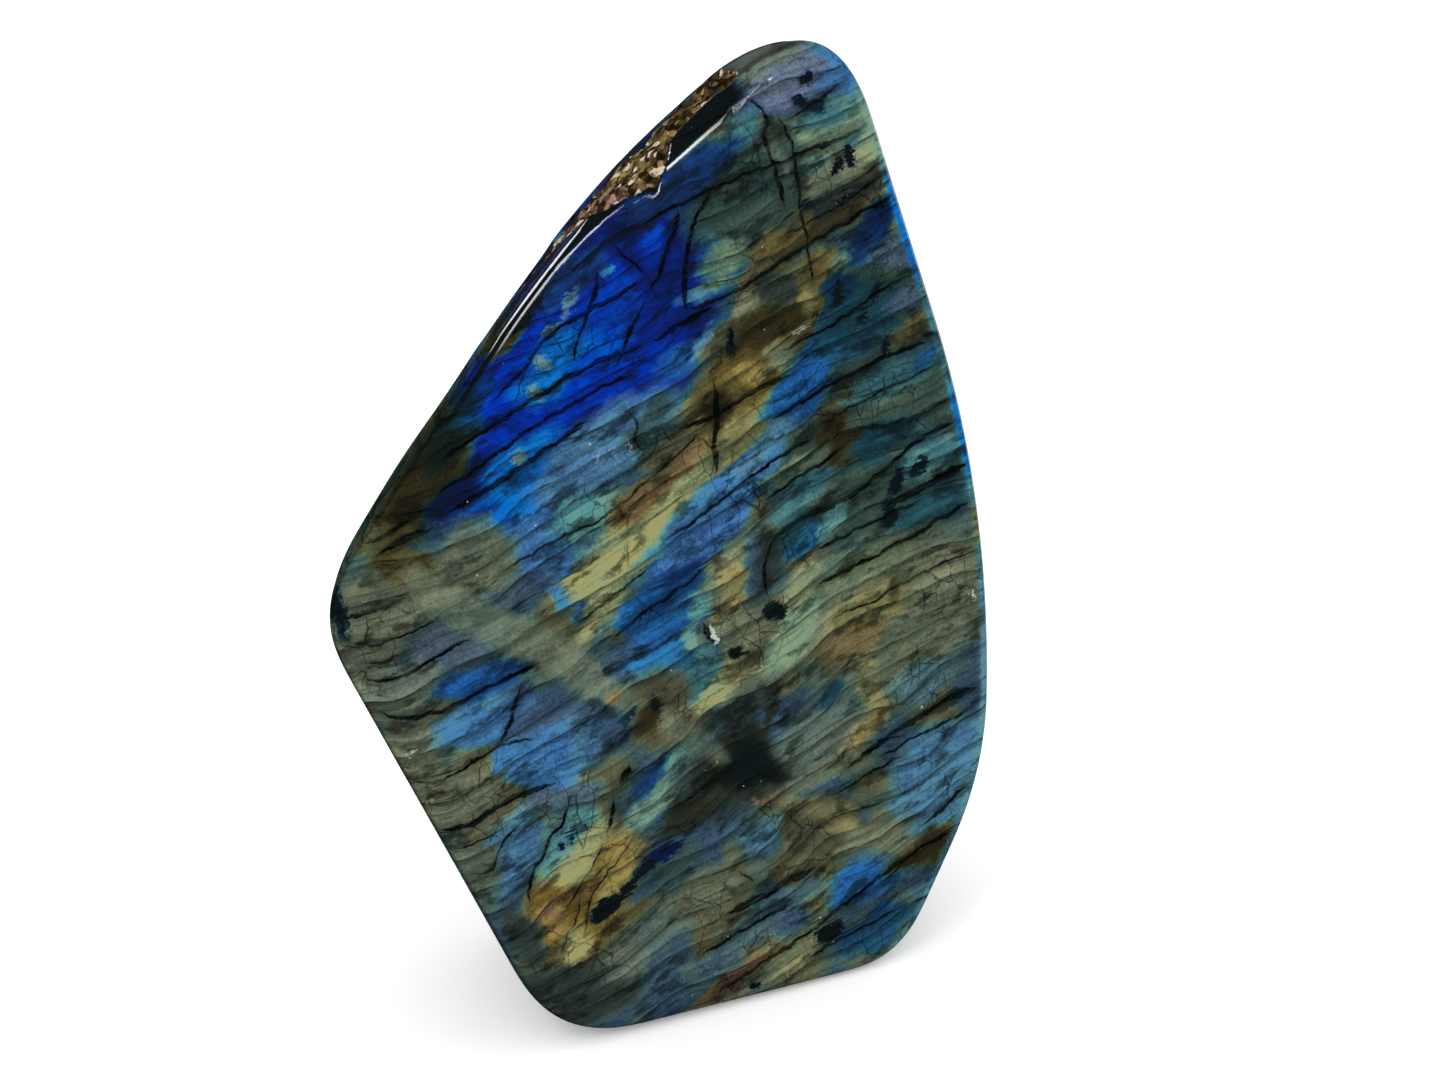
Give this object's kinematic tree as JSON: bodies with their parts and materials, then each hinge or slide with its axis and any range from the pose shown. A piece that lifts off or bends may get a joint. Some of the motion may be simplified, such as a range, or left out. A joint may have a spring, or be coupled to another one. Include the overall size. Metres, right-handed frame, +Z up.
{
  "type": "polished labradorite freeform",
  "caption": "Free-standing polished labradorite stone with a flat leaning face, a domed back, a rough rind edge and a flat cut base, for display.",
  "frame": {"origin": "on the ground, under the middle of the stone's box", "axes": "+Z up; the flat face with the colour play looks along -Y and leans back by 8 degrees; +X is to the right seen from the front"},
  "size_m": [0.0826, 0.0406, 0.1137],
  "materials": {
    "stone": "high polish, with a strip of rough crystalline rind"
  },
  "bodies": {
    "root": {"labradorite_stone": "stone"}
  },
  "joints": []
}
